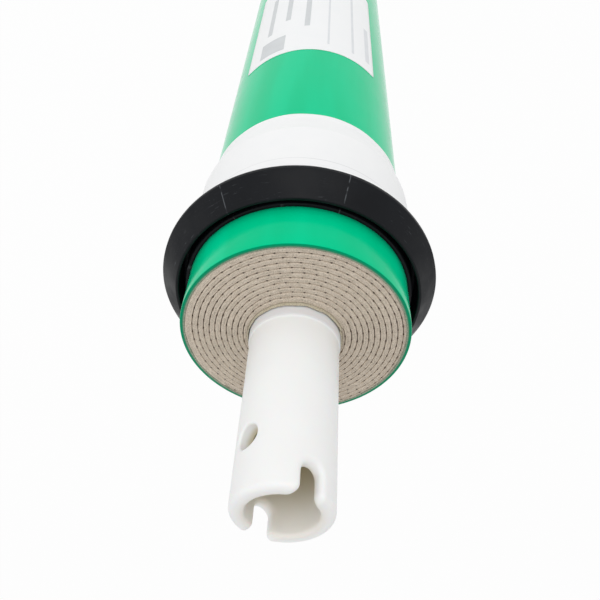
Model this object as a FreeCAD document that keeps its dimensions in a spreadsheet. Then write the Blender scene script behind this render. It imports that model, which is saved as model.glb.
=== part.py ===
import FreeCAD, Part

# Spiral-wound reverse osmosis element of the 1812 household size, as a parametric FreeCAD document.
#
# Millimetres and degrees. The element stands on its O-ring spigot, with its axis on +Z, z = 0 at the
# spigot's rim and the notched end of the permeate tube on top. Angles about the axis are counted from
# +X towards +Y. A setback is a distance below the wound roll's upper face.

import math
import os

import Sketcher
from FreeCAD import Placement, Rotation, Vector

DIMENSIONS = {
    # permeate tube: one moulding from end to end
    "total_length": 298.0,
    "spigot_length": 22.0,
    "stub_length": 38.5,
    "tube_diameter": 17.0,
    "core_diameter": 17.5,
    "shoulder_length": 3.0,
    "tube_bore": 11.6,
    "outlet_bore": 10.0,
    "outlet_bore_length": 20.0,
    "bore_taper_length": 2.0,
    "outlet_chamfer": 0.5,
    "spigot_lead": 0.5,
    "spigot_lead_length": 1.2,
    "tip_bevel": 0.9,
    "mouth_bevel": 0.7,
    "mouth_depth": 33.0,
    "web_thickness": 3.0,
    "notch_width": 3.4,
    "notch_depth": 5.4,
    "notch_corner": 1.3,
    "notch_angle": 54.0,
    "side_hole_diameter": 4.5,
    "side_hole_drop": 10.6,
    "side_hole_angle": -44.0,
    "perforation_diameter": 2.0,
    "perforation_count": 5,
    "perforation_margin": 20.0,
    # O-rings on the spigot
    "cord_diameter": 2.0,
    "cord_bevel": 0.6,
    "groove_floor_diameter": 14.2,
    "groove_width": 2.4,
    "groove_inset": 3.4,
    "groove_spacing": 5.0,
    "cord_fit": 0.03,
    # the wound roll
    "wrap_diameter": 44.5,
    "wrap_thickness": 0.8,
    "wind_pitch": 1.08,
    "channel_start_radius": 9.7,
    "channel_width": 0.36,
    "tail_cover": 0.3,
    "leaf_end_angle": 10.0,
    "spacer_thickness": 0.3,
    "spacer_recess": 0.8,
    "carrier_thickness": 0.24,
    "carrier_pitch": 0.27,
    "carrier_half_turns": 2,
    "carrier_stand_out": 1.3,
    "lay_gap": 0.03,
    # brine seal, by setback and by rise over the wrap
    "seal_lip_rise": 2.55,
    "seal_lip_setback": 10.1,
    "seal_lip_thickness": 0.6,
    "seal_rim_rise": 5.95,
    "seal_rim_setback": 14.6,
    "seal_rim_width": 0.9,
    "seal_leg_thickness": 0.8,
    "seal_leg_setback": 11.0,
    "seal_floor_setback": 16.4,
    "seal_root_setback": 18.8,
    "sleeve_thickness": 1.52,
    "sleeve_tail_setback": 38.0,
    # tape over the seal's sleeve
    "tape_thickness": 0.25,
    "tape_start_setback": 19.6,
    "tape_end_setback": 47.0,
    # bare label
    "label_setback": 83.4,
    "label_length": 66.0,
    "label_chord": 34.6,
    "label_thickness": 0.12,
    "label_gap": 0.05,
    "label_angle": -2.0,
    "label_near_corner": 1.5,
    "label_far_corner": 12.0,
}

PARTS_FOLDER = "parts"
SHEET = "Sizes"


class Size:
    """A length that carries both its number and the sheet formula that gives it."""

    def __init__(self, number, formula):
        self.number = number
        self.formula = formula

    @staticmethod
    def of(value):
        return value if isinstance(value, Size) else Size(value, repr(value))

    def __add__(self, other):
        other = Size.of(other)
        return Size(self.number + other.number, f"({self.formula} + {other.formula})")

    def __sub__(self, other):
        other = Size.of(other)
        return Size(self.number - other.number, f"({self.formula} - {other.formula})")

    def __mul__(self, other):
        other = Size.of(other)
        return Size(self.number * other.number, f"({self.formula} * {other.formula})")

    def __truediv__(self, other):
        other = Size.of(other)
        return Size(self.number / other.number, f"({self.formula} / {other.formula})")

    def __neg__(self):
        return Size(-self.number, f"(0 - {self.formula})")


class Sizes:
    """The sheet's cells, one attribute for each alias."""

    def __init__(self, doc):
        sheet = doc.addObject("Spreadsheet::Sheet", SHEET)
        for row, (alias, number) in enumerate(DIMENSIONS.items(), start=1):
            sheet.set(f"A{row}", alias)
            sheet.set(f"B{row}", str(number))
            sheet.setAlias(f"B{row}", alias)
        doc.recompute()
        for alias in DIMENSIONS:
            setattr(self, alias, Size(float(sheet.get(alias)), f"{SHEET}.{alias}"))
        self.add_derived_sizes()

    def add_derived_sizes(self):
        self.tube_radius = self.tube_diameter / 2
        self.bore_radius = self.tube_bore / 2
        self.outlet_radius = self.outlet_bore / 2
        self.wrap_radius = self.wrap_diameter / 2
        self.roll_foot = self.spigot_length
        self.roll_face = self.total_length - self.stub_length
        self.roll_length = self.roll_face - self.roll_foot
        self.carrier_inner_radius = self.core_diameter / 2 + self.lay_gap
        carrier_growth = self.carrier_pitch * self.carrier_half_turns / 2
        self.carrier_outer_radius = self.carrier_inner_radius + carrier_growth + self.carrier_thickness
        self.leaf_inner_radius = self.carrier_outer_radius + self.lay_gap
        self.leaf_outer_radius = self.wrap_radius - self.wrap_thickness - self.lay_gap
        self.sleeve_radius = self.wrap_radius + self.lay_gap + self.sleeve_thickness
        self.seal_lip_radius = self.wrap_radius + self.seal_lip_rise
        self.seal_rim_radius = self.wrap_radius + self.seal_rim_rise

    def setback(self, name):
        """Height of a named setback below the roll's upper face."""
        return self.roll_face - getattr(self, name)


def bind(item, **formulas):
    """Tie properties of a document object to the sheet."""
    for path, size in formulas.items():
        item.setExpression(path, size.formula)


def turn_about_axis(item, angle):
    """Turn a sub-part about the element's axis by a sheet angle."""
    item.Placement = Placement(Vector(0, 0, 0), Rotation(Vector(0, 0, 1), angle.number))
    item.setExpression("Placement.Rotation.Angle", angle.formula)


# ---- sketches ------------------------------------------------------------------------------------


def new_body(doc, label):
    body = doc.addObject("PartDesign::Body", label)
    body.Label = label
    return body


def new_sketch(body, name, plane_role):
    sketch = body.newObject("Sketcher::SketchObject", name)
    planes = [item for item in body.Origin.OriginFeatures if item.Role == plane_role]
    sketch.AttachmentSupport = [(planes[0], "")]
    sketch.MapMode = "FlatFace"
    return sketch


def constrain(sketch, size, kind, *where):
    """Add a dimension that follows the sheet."""
    index = sketch.addConstraint(Sketcher.Constraint(kind, *where, size.number))
    sketch.setExpression(f"Constraints[{index}]", size.formula)


def pin_coordinate(sketch, geometry, end, size, kind, axis):
    """Hold one coordinate of a point at a sheet value, measured from the sketch's origin."""
    if size.number == 0:
        sketch.addConstraint(Sketcher.Constraint("PointOnObject", geometry, end, axis))
    elif size.number > 0:
        constrain(sketch, size, kind, -1, 1, geometry, end)
    else:
        constrain(sketch, -size, kind, geometry, end, -1, 1)


def arc_between(start, finish, radius, turn):
    """The short arc from start to finish; turn is 1 anticlockwise, -1 clockwise."""
    chord = finish - start
    rise = (radius ** 2 - chord.Length ** 2 / 4) ** 0.5
    side = Vector(-chord.y, chord.x, 0).normalize() * rise * turn
    centre = (start + finish) / 2 + side
    circle = Part.Circle(centre, Vector(0, 0, 1), radius)
    first, last = (start, finish) if turn > 0 else (finish, start)
    return Part.ArcOfCircle(circle, circle.parameter(first), circle.parameter(last))


def join_ends(sketch, ends):
    """Make each side finish where the next one starts."""
    for (_, finish), (start, _) in zip(ends, ends[1:] + ends[:1]):
        sketch.addConstraint(Sketcher.Constraint("Coincident", *finish, *start))


def draw_outline(sketch, corners, rounds=None):
    """Closed outline through (x, y) corners; rounds gives (radius, turn) for the sides that are arcs."""
    rounds = rounds or {}
    corners = [(Size.of(x), Size.of(y)) for x, y in corners]
    points = [Vector(x.number, y.number, 0) for x, y in corners]
    ends = []
    for side, start in enumerate(points):
        finish = points[(side + 1) % len(points)]
        if side in rounds:
            radius, turn = rounds[side]
            geometry = sketch.addGeometry(arc_between(start, finish, radius.number, turn), False)
            ends.append(((geometry, 1), (geometry, 2)) if turn > 0 else ((geometry, 2), (geometry, 1)))
        else:
            geometry = sketch.addGeometry(Part.LineSegment(start, finish), False)
            ends.append(((geometry, 1), (geometry, 2)))
    join_ends(sketch, ends)
    for (x, y), (start, _) in zip(corners, ends):
        pin_coordinate(sketch, *start, x, "DistanceX", -2)
        pin_coordinate(sketch, *start, y, "DistanceY", -1)
    for side, (radius, _) in rounds.items():
        constrain(sketch, radius, "Radius", ends[side][0][0])


def draw_circle(sketch, diameter, height=None):
    """Circle on the sketch's vertical axis, at the origin or at a height on that axis."""
    level = height.number if height else 0
    circle = Part.Circle(Vector(0, level, 0), Vector(0, 0, 1), diameter.number / 2)
    geometry = sketch.addGeometry(circle, False)
    if height:
        sketch.addConstraint(Sketcher.Constraint("PointOnObject", geometry, 3, -2))
        constrain(sketch, height, "DistanceY", -1, 1, geometry, 3)
    else:
        sketch.addConstraint(Sketcher.Constraint("Coincident", geometry, 3, -1, 1))
    constrain(sketch, diameter, "Diameter", geometry)


def spiral_corner(inner_radius, pitch, half_turn):
    """Crossing of a two-centre spiral with its own axis after so many half turns."""
    reach = inner_radius - pitch / 4 + pitch * half_turn / 2
    return reach if half_turn % 2 == 0 else -reach


def draw_spiral_wall(sketch, inner_radius, pitch, half_turns):
    """One wall of a wound sheet: semicircles about two centres in turn, clockwise from above."""
    crossings = [spiral_corner(inner_radius, pitch, count) for count in range(half_turns + 1)]
    ends = []
    for start, finish in zip(crossings, crossings[1:]):
        middle = (start.number + finish.number) / 2
        radius = abs(start.number - finish.number) / 2
        circle = Part.Circle(Vector(middle, 0, 0), Vector(0, 0, 1), radius)
        angles = (-math.pi, 0) if start.number > 0 else (0, math.pi)
        geometry = sketch.addGeometry(Part.ArcOfCircle(circle, *angles), False)
        sketch.addConstraint(Sketcher.Constraint("PointOnObject", geometry, 3, -1))
        ends.append(((geometry, 2), (geometry, 1)))
    for (_, finish), (start, _) in zip(ends, ends[1:]):
        sketch.addConstraint(Sketcher.Constraint("Coincident", *finish, *start))
    tips = [start for start, _ in ends] + [ends[-1][1]]
    for tip, crossing in zip(tips, crossings):
        pin_coordinate(sketch, *tip, crossing, "DistanceX", -2)
        sketch.addConstraint(Sketcher.Constraint("PointOnObject", *tip, -1))
    return tips[0], tips[-1], crossings[0], crossings[-1]


def draw_wound_sheet(sketch, inner_radius, thickness, pitch, half_turns):
    """Section of a sheet wound into a roll: two spiral walls and two square ends."""
    inner = draw_spiral_wall(sketch, inner_radius, pitch, half_turns)
    outer = draw_spiral_wall(sketch, inner_radius + thickness, pitch, half_turns)
    for end in (0, 1):
        start = Vector(inner[2 + end].number, 0, 0)
        finish = Vector(outer[2 + end].number, 0, 0)
        geometry = sketch.addGeometry(Part.LineSegment(start, finish), False)
        sketch.addConstraint(Sketcher.Constraint("Coincident", geometry, 1, *inner[end]))
        sketch.addConstraint(Sketcher.Constraint("Coincident", geometry, 2, *outer[end]))


# ---- features ------------------------------------------------------------------------------------


def revolve(body, sketch):
    feature = body.newObject("PartDesign::Revolution", f"{body.Label}_turned")
    feature.Profile = sketch
    feature.ReferenceAxis = (sketch, ["V_Axis"])
    feature.Angle = 360
    return feature


def pad(body, sketch, length):
    feature = body.newObject("PartDesign::Pad", f"{body.Label}_pad")
    feature.Profile = sketch
    bind(feature, Length=length)
    return feature


def cut_through(body, sketch, name, both_walls=True):
    """Pocket with no end: through both walls of a tube, or only the one behind the sketch."""
    feature = body.newObject("PartDesign::Pocket", name)
    feature.Profile = sketch
    feature.Type = "ThroughAll"
    feature.Midplane = both_walls
    return feature


def raise_sketch(sketch, height):
    sketch.setExpression("AttachmentOffset.Base.z", height.formula)


def round_tube(doc, label, outer_radius, inner_radius, height, foot):
    """Plain sleeve: one cylinder cut out of another."""
    shells = []
    for name, radius in (("outside", outer_radius), ("inside", inner_radius)):
        cylinder = doc.addObject("Part::Cylinder", f"{label}_{name}")
        bind(cylinder, Radius=radius, Height=height)
        cylinder.setExpression("Placement.Base.z", foot.formula)
        shells.append(cylinder)
    sleeve = doc.addObject("Part::Cut", label)
    sleeve.Base, sleeve.Tool = shells
    sleeve.Label = label
    return sleeve


# ---- the sub-parts -------------------------------------------------------------------------------


def groove_corners(sizes, foot):
    """The four corners of one O-ring groove, from the spigot's rim upwards."""
    floor = sizes.groove_floor_diameter / 2
    top = foot + sizes.groove_width
    return [(sizes.tube_radius, foot), (floor, foot), (floor, top), (sizes.tube_radius, top)]


def groove_feet(sizes):
    return sizes.groove_inset, sizes.groove_inset + sizes.groove_spacing


def tube_section(sizes):
    """Half section of the permeate tube, up its outside and down its bore."""
    top = sizes.total_length
    web_top = top - sizes.mouth_depth
    core = sizes.core_diameter / 2
    lower_groove, upper_groove = groove_feet(sizes)
    outside = [
        (sizes.outlet_radius + sizes.outlet_chamfer, 0),
        (sizes.tube_radius - sizes.spigot_lead, 0),
        (sizes.tube_radius, sizes.spigot_lead_length),
        *groove_corners(sizes, lower_groove),
        *groove_corners(sizes, upper_groove),
        (sizes.tube_radius, sizes.roll_foot - sizes.shoulder_length),
        (core, sizes.roll_foot - sizes.shoulder_length),
        (core, sizes.roll_face + sizes.shoulder_length),
        (sizes.tube_radius, sizes.roll_face + sizes.shoulder_length),
        (sizes.tube_radius, top - sizes.tip_bevel),
        (sizes.tube_radius - sizes.tip_bevel, top),
    ]
    bore = [
        (sizes.bore_radius + sizes.mouth_bevel, top),
        (sizes.bore_radius, top - sizes.mouth_bevel),
        (sizes.bore_radius, web_top),
        (0, web_top),
        (0, web_top - sizes.web_thickness),
        (sizes.bore_radius, web_top - sizes.web_thickness),
        (sizes.bore_radius, sizes.outlet_bore_length + sizes.bore_taper_length),
        (sizes.outlet_radius, sizes.outlet_bore_length),
        (sizes.outlet_radius, sizes.outlet_chamfer),
    ]
    return outside + bore


def draw_notch(sketch, sizes):
    """U-shaped notch, open at the tube's tip, with a round floor and flared corners."""
    top = sizes.total_length
    half = sizes.notch_width / 2
    flare = half + sizes.notch_corner
    floor = top - sizes.notch_depth
    right = [(flare, top), (half, top - sizes.notch_corner), (half, floor + half)]
    left = [(-x, y) for x, y in reversed(right)]
    corners = [*right, (0, floor), *left, (-flare, top + sizes.notch_corner), (flare, top + sizes.notch_corner)]
    rounds = {
        0: (sizes.notch_corner, 1),
        2: (half, -1),
        3: (half, -1),
        5: (sizes.notch_corner, 1),
    }
    draw_outline(sketch, corners, rounds)


def make_permeate_tube(doc, sizes):
    """Perforated centre tube: O-ring spigot below, closing web, side hole and two notches above."""
    body = new_body(doc, "permeate_tube")
    section = new_sketch(body, "tube_section", "XZ_Plane")
    draw_outline(section, tube_section(sizes))
    revolve(body, section)

    notch = new_sketch(body, "notch_outline", "XZ_Plane")
    draw_notch(notch, sizes)
    cut_through(body, notch, "notches")

    side_hole = new_sketch(body, "side_hole_outline", "XZ_Plane")
    draw_circle(side_hole, sizes.side_hole_diameter, sizes.total_length - sizes.side_hole_drop)
    side_turn = sizes.side_hole_angle - sizes.notch_angle
    side_hole.AttachmentOffset = Placement(Vector(0, 0, 0), Rotation(Vector(0, 1, 0), side_turn.number))
    side_hole.setExpression("AttachmentOffset.Rotation.Angle", side_turn.formula)
    cut_through(body, side_hole, "side_hole", both_walls=False)

    perforation = new_sketch(body, "perforation_outline", "XZ_Plane")
    draw_circle(perforation, sizes.perforation_diameter, sizes.roll_foot + sizes.perforation_margin)
    drilled = cut_through(body, perforation, "perforation")
    row = body.newObject("PartDesign::LinearPattern", "perforation_row")
    row.Originals = [drilled]
    row.Direction = (perforation, ["V_Axis"])
    row.Occurrences = int(sizes.perforation_count.number)
    bind(row, Length=sizes.roll_length - sizes.perforation_margin * 2)
    body.Tip = row
    turn_about_axis(body, sizes.notch_angle - 90)
    return body


def make_o_ring(doc, sizes, label, groove_foot):
    """Rubber ring: flat against its groove, bevelled where it stands out of it."""
    body = new_body(doc, label)
    section = new_sketch(body, f"{label}_section", "XZ_Plane")
    inner = sizes.groove_floor_diameter / 2 + sizes.cord_fit
    outer = inner + sizes.cord_diameter
    foot = groove_foot + (sizes.groove_width - sizes.cord_diameter) / 2
    top = foot + sizes.cord_diameter
    shoulder = outer - sizes.cord_bevel
    corners = [
        (inner, foot),
        (shoulder, foot),
        (outer, foot + sizes.cord_bevel),
        (outer, top - sizes.cord_bevel),
        (shoulder, top),
        (inner, top),
    ]
    draw_outline(section, corners)
    revolve(body, section)
    return body


def make_permeate_carrier(doc, sizes):
    """Knitted carrier sheet: wound round the tube before the leaf, and standing out at both faces."""
    body = new_body(doc, "permeate_carrier")
    section = new_sketch(body, "carrier_section", "XY_Plane")
    raise_sketch(section, sizes.roll_foot - sizes.carrier_stand_out)
    half_turns = int(sizes.carrier_half_turns.number)
    inner = sizes.carrier_inner_radius + sizes.carrier_pitch / 4
    draw_wound_sheet(section, inner, sizes.carrier_thickness, sizes.carrier_pitch, half_turns)
    pad(body, section, sizes.roll_length + sizes.carrier_stand_out * 2)
    return body


def channel_half_turns(sizes):
    """Half turns of feed channel that fit between the fold and the leaf's outside."""
    room = sizes.leaf_outer_radius - sizes.tail_cover - sizes.channel_start_radius
    return int(room.number / (sizes.wind_pitch.number / 2))


def roll_turn(sizes):
    """Turn about the axis that brings the leaf's outer end to its angle."""
    ends_on_minus_x = channel_half_turns(sizes) % 2 == 1
    return sizes.leaf_end_angle - 180 if ends_on_minus_x else sizes.leaf_end_angle + 0


def make_membrane_leaf(doc, sizes):
    """Folded membrane glued round its carrier and wound up: a roll with one spiral feed channel."""
    body = new_body(doc, "membrane_leaf")
    section = new_sketch(body, "leaf_section", "XY_Plane")
    raise_sketch(section, sizes.roll_foot)
    draw_circle(section, sizes.leaf_inner_radius * 2)
    draw_circle(section, sizes.leaf_outer_radius * 2)
    pad(body, section, sizes.roll_length)
    channel = new_sketch(body, "feed_channel", "XY_Plane")
    wall = sizes.channel_start_radius - sizes.channel_width / 2
    draw_wound_sheet(channel, wall, sizes.channel_width, sizes.wind_pitch, channel_half_turns(sizes))
    cut_through(body, channel, "feed_channel_cut")
    turn_about_axis(body, roll_turn(sizes))
    return body


def make_feed_spacer(doc, sizes):
    """Net sheet that holds the feed channel open, a little short of both faces of the roll."""
    body = new_body(doc, "feed_spacer")
    section = new_sketch(body, "spacer_section", "XY_Plane")
    raise_sketch(section, sizes.roll_foot + sizes.spacer_recess)
    inner = sizes.channel_start_radius - sizes.spacer_thickness / 2
    draw_wound_sheet(section, inner, sizes.spacer_thickness, sizes.wind_pitch, channel_half_turns(sizes))
    pad(body, section, sizes.roll_length - sizes.spacer_recess * 2)
    turn_about_axis(body, roll_turn(sizes))
    return body


def make_brine_seal(doc, sizes):
    """Rubber cup seal: a sleeve on the wrap with an inner leg and a flared lip, open to the notched end."""
    body = new_body(doc, "brine_seal")
    section = new_sketch(body, "seal_section", "XZ_Plane")
    seat = sizes.wrap_radius + sizes.lay_gap
    leg = seat + sizes.seal_leg_thickness
    leg_top = sizes.setback("seal_leg_setback")
    nose = sizes.setback("seal_lip_setback")
    rim_front = sizes.setback("seal_rim_setback")
    cavity = sizes.seal_lip_radius - sizes.seal_lip_thickness
    corners = [
        (seat, sizes.setback("sleeve_tail_setback")),
        (sizes.sleeve_radius, sizes.setback("sleeve_tail_setback")),
        (sizes.sleeve_radius, sizes.setback("seal_root_setback")),
        (sizes.seal_rim_radius, rim_front - sizes.seal_rim_width),
        (sizes.seal_rim_radius, rim_front),
        (sizes.seal_lip_radius, nose),
        (cavity, nose),
        (cavity, sizes.setback("seal_floor_setback")),
        (leg, sizes.setback("seal_floor_setback")),
        (leg, leg_top),
        (seat, leg_top),
    ]
    draw_outline(section, corners)
    revolve(body, section)
    return body


def make_seal_tape(doc, sizes):
    """White tape: wound tight over the seal's sleeve, then sloping down on to the wrap."""
    body = new_body(doc, "seal_tape")
    section = new_sketch(body, "tape_section", "XZ_Plane")
    inside = [
        (sizes.wrap_radius + sizes.lay_gap, sizes.setback("tape_end_setback")),
        (sizes.sleeve_radius + sizes.lay_gap, sizes.setback("sleeve_tail_setback") - sizes.lay_gap),
        (sizes.sleeve_radius + sizes.lay_gap, sizes.setback("tape_start_setback")),
    ]
    outside = [(radius + sizes.tape_thickness, height) for radius, height in reversed(inside)]
    draw_outline(section, inside + outside)
    revolve(body, section)
    return body


def make_label(doc, sizes):
    """Bare label: a thin sheet curved on the wrap, with wide corners at its far end."""
    under = sizes.wrap_radius + sizes.label_gap
    foot = sizes.setback("label_setback") - sizes.label_length
    sheet = round_tube(doc, "label_sheet", under + sizes.label_thickness, under, sizes.label_length, foot)
    blank = doc.addObject("Part::Box", "label_blank")
    bind(blank, Length=sizes.label_chord, Width=sizes.wrap_diameter, Height=sizes.label_length)
    for path, size in (("x", -sizes.label_chord / 2), ("y", -sizes.wrap_diameter), ("z", foot)):
        blank.setExpression(f"Placement.Base.{path}", size.formula)
    doc.recompute()
    outline = doc.addObject("Part::Fillet", "label_outline")
    outline.Base = blank
    outline.Edges = corner_rounds(blank.Shape, sizes)
    label = doc.addObject("Part::Common", "label")
    label.Base, label.Tool = sheet, outline
    label.Label = "label"
    turn_about_axis(label, sizes.label_angle)
    return label


def corner_rounds(block, sizes):
    """Fillets for the four edges of the label's blank that run along Y."""
    rounds = []
    middle = block.BoundBox.Center.z
    for number, edge in enumerate(block.Edges, start=1):
        if edge.BoundBox.YLength > edge.BoundBox.XLength + edge.BoundBox.ZLength:
            near = edge.CenterOfMass.z > middle
            radius = sizes.label_near_corner.number if near else sizes.label_far_corner.number
            rounds.append((number, radius, radius))
    return rounds


def make_sub_parts(doc, sizes):
    lower_groove, upper_groove = groove_feet(sizes)
    wrap_inside = sizes.wrap_radius - sizes.wrap_thickness
    return [
        make_permeate_tube(doc, sizes),
        make_o_ring(doc, sizes, "lower_o_ring", lower_groove),
        make_o_ring(doc, sizes, "upper_o_ring", upper_groove),
        make_permeate_carrier(doc, sizes),
        make_membrane_leaf(doc, sizes),
        make_feed_spacer(doc, sizes),
        round_tube(doc, "outer_wrap", sizes.wrap_radius, wrap_inside, sizes.roll_length, sizes.roll_foot),
        make_brine_seal(doc, sizes),
        make_seal_tape(doc, sizes),
        make_label(doc, sizes),
    ]


def check(doc, sub_parts):
    """Stop before anything is written if a feature failed or a sub-part isn't one sound solid."""
    for item in doc.Objects:
        if "Invalid" in item.State or "Error" in item.State:
            raise RuntimeError(f"{item.Label} failed: {item.State}")
    for item in sub_parts:
        shape = item.Shape
        if shape.isNull() or not shape.isValid() or len(shape.Solids) != 1:
            raise RuntimeError(f"{item.Label} isn't one valid solid")


def main():
    doc = FreeCAD.newDocument("ro_membrane_element")
    sub_parts = make_sub_parts(doc, Sizes(doc))
    doc.recompute()
    check(doc, sub_parts)
    os.makedirs(PARTS_FOLDER, exist_ok=True)
    for item in sub_parts:
        item.Shape.exportStep(os.path.join(PARTS_FOLDER, f"{item.Label}.step"))
        print(f"{item.Label}: {item.Shape.Volume:.1f} mm3")


main()
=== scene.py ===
import math

import bmesh
import bpy
import numpy as np
from mathutils import Matrix, Vector
from mathutils.geometry import delaunay_2d_cdt


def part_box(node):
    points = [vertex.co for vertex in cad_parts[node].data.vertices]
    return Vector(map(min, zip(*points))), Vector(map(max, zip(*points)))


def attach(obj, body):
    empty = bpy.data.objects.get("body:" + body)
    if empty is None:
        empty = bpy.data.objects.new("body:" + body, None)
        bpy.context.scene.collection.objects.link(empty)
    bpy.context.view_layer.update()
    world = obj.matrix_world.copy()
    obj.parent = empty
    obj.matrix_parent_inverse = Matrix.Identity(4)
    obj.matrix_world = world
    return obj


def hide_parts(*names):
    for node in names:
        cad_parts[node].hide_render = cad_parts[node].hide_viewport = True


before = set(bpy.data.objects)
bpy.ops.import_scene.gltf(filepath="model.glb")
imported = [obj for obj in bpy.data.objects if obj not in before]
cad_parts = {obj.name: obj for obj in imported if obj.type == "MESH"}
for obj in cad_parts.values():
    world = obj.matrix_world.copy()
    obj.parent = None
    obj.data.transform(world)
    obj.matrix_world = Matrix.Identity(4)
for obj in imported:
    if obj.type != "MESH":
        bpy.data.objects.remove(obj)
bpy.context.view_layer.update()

# Looks of a spiral-wound reverse osmosis element. Meshes are worked out in millimetres about the
# element's axis and stored in metres. Angles are counted from +X towards +Y. A setback is a depth below
# the roll's upper face.

MM = 0.001
WELD = 0.002 * MM


def reach(node):
    """Outer radius, foot and top of a round CAD node."""
    low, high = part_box(node)
    return high.x / MM, low.z / MM, high.z / MM


WRAP_RADIUS, ROLL_FOOT, ROLL_FACE = reach("outer_wrap")
CORE_RADIUS, TUBE_FOOT, TUBE_TIP = reach("permeate_tube")
CARRIER_FOOT, CARRIER_TOP = reach("permeate_carrier")[1:]
SEAL_RADIUS, SEAL_TAIL, SEAL_NOSE = reach("brine_seal")
TAPE_RADIUS, TAPE_TAIL, TAPE_HEAD = reach("seal_tape")
NET_FOOT, NET_TOP = reach("feed_spacer")[1:]

# permeate tube
TUBE_RADIUS = 8.5
TIP_DRAFT = 0.25
BORE_RADIUS = 5.8
OUTLET_RADIUS = 5.0
OUTLET_LENGTH = 20.0
SHOULDER = 3.0
TIP_ROUND = 1.15
MOUTH_ROUND = 0.8
NOTCH_HALF = 1.7
NOTCH_FLARE = 1.3
NOTCH_DEPTH = 5.4
NOTCH_ANGLE = 54.0
HOLE_RADIUS = 2.25
HOLE_DROP = 10.6
HOLE_ANGLE = -44.0
HOLE_ROUND = 0.5
WEB_TOP = TUBE_TIP - 33.0
WEB_FOOT = WEB_TOP - 3.0
CORE_BEVEL = 0.25
BORE_TAPER = 2.0
GROOVE_FEET = (3.4, 8.4)
GROOVE_WIDTH = 2.4
GROOVE_FLOOR = 7.1
SEAM_ANGLE = 140.0
COLUMNS = 120
PERFORATION_RADIUS = 1.0
PERFORATION_ROUND = 0.15
PERFORATIONS = 5
PERFORATION_MARGIN = 20.0

# permeate carrier
CARRIER_RADIUS = 8.8
CARRIER_PITCH = 0.25
CARRIER_THICK = 0.24

# wound leaf
PITCH = 1.1
CHANNEL_RADIUS = 9.51
CHANNEL_TURNS = 10.42
CHANNEL_START = math.radians(-165.0)
LEAF_OUTER = 21.25
OFF_CENTRE = 0.17
DOME = 0.45
COLLAR = 0.18
STRAND_STEP = 2.15
CHANNEL_NARROW = 0.13
CHANNEL_WIDE = 0.3
CHANNEL_EASE = 0.28
WEB_HALF = 0.05
WEB_RECESS = 1.2
STRAND_RECESS = 0.12
STRAND_DEPTHS = (0.0, 0.6, 1.3, 2.4)
STRAND_LAYERS = ((0.7, 0.04), (-0.7, -0.04))
STRAND_SIDES = 6

# brine seal, tape and label
LAY_GAP = 0.03
SEAT = WRAP_RADIUS + LAY_GAP
SLEEVE_RADIUS = 23.8
LIP_RADIUS = 24.8
CAVITY_RADIUS = 24.2
LEG_THICK = 0.8
TAPE_THICK = 0.25
TAPE_PRESS = 0.1
# Depths and strengths of the tape's grey lines of painted shade, at its step and its groove.
TAPE_SHADE_LINES = ((22.7, 0.85), (25.6, 0.3))
LABEL_THICK = 0.12
LABEL_HALF = 17.3
LABEL_ANGLE = -92.0
LABEL_NEAR = 1.5
LABEL_FAR = 12.0


# ---- meshes --------------------------------------------------------------------------------------


def make_piece(name, points, faces, material, slot, replaced=(), uv=None):
    """A smooth, welded mesh on the root body; points are in millimetres."""
    mesh = bpy.data.meshes.new(name)
    mesh.from_pydata([tuple(p) for p in np.asarray(points) * MM], [], [tuple(f) for f in faces])
    if uv is not None:
        layer = mesh.uv_layers.new(name="UVMap")
        corners = np.empty(len(mesh.loops), np.int32)
        mesh.loops.foreach_get("vertex_index", corners)
        layer.data.foreach_set("uv", np.asarray(uv, np.float32)[corners].ravel())
    work = bmesh.new()
    work.from_mesh(mesh)
    bmesh.ops.remove_doubles(work, verts=work.verts, dist=WELD)
    bmesh.ops.dissolve_degenerate(work, edges=work.edges, dist=WELD / 10)
    bmesh.ops.recalc_face_normals(work, faces=work.faces)
    work.to_mesh(mesh)
    work.free()
    mesh.shade_smooth()
    mesh.materials.append(material)
    piece = bpy.data.objects.new(name, mesh)
    bpy.context.scene.collection.objects.link(piece)
    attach(piece, "root")
    if replaced:
        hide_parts(*replaced)
    return piece


def soften(corners, steps=6):
    """Closed outline of (r, z, rounding) corners with each corner turned into an arc."""
    outline = []
    places = [np.array(corner[:2]) for corner in corners]
    for index, (place, (_, _, radius)) in enumerate(zip(places, corners)):
        before, after = places[index - 1], places[(index + 1) % len(places)]
        to_before, to_after = before - place, after - place
        span_before, span_after = np.linalg.norm(to_before), np.linalg.norm(to_after)
        if not radius:
            outline.append(place)
            continue
        to_before, to_after = to_before / span_before, to_after / span_after
        half = math.acos(max(-1.0, min(1.0, to_before @ to_after))) / 2
        trim = min(radius / math.tan(half), 0.49 * span_before, 0.49 * span_after)
        radius = trim * math.tan(half)
        middle = (to_before + to_after) / np.linalg.norm(to_before + to_after)
        centre = place + middle * radius / math.sin(half)
        first, last = place + to_before * trim - centre, place + to_after * trim - centre
        sweep = math.pi - 2 * half
        for step in range(steps + 1):
            share = step / steps
            mixed = first * math.sin((1 - share) * sweep) + last * math.sin(share * sweep)
            outline.append(centre + mixed / math.sin(sweep))
    return outline


def divide(outline, longest):
    """The same closed outline with long sides cut into shorter ones."""
    finer = []
    for start, finish in zip(outline, outline[1:] + outline[:1]):
        start, span = np.array(start), np.array(finish) - np.array(start)
        parts = max(1, math.ceil(np.linalg.norm(span) / longest))
        finer += [start + span * part / parts for part in range(parts)]
    return finer


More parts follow.
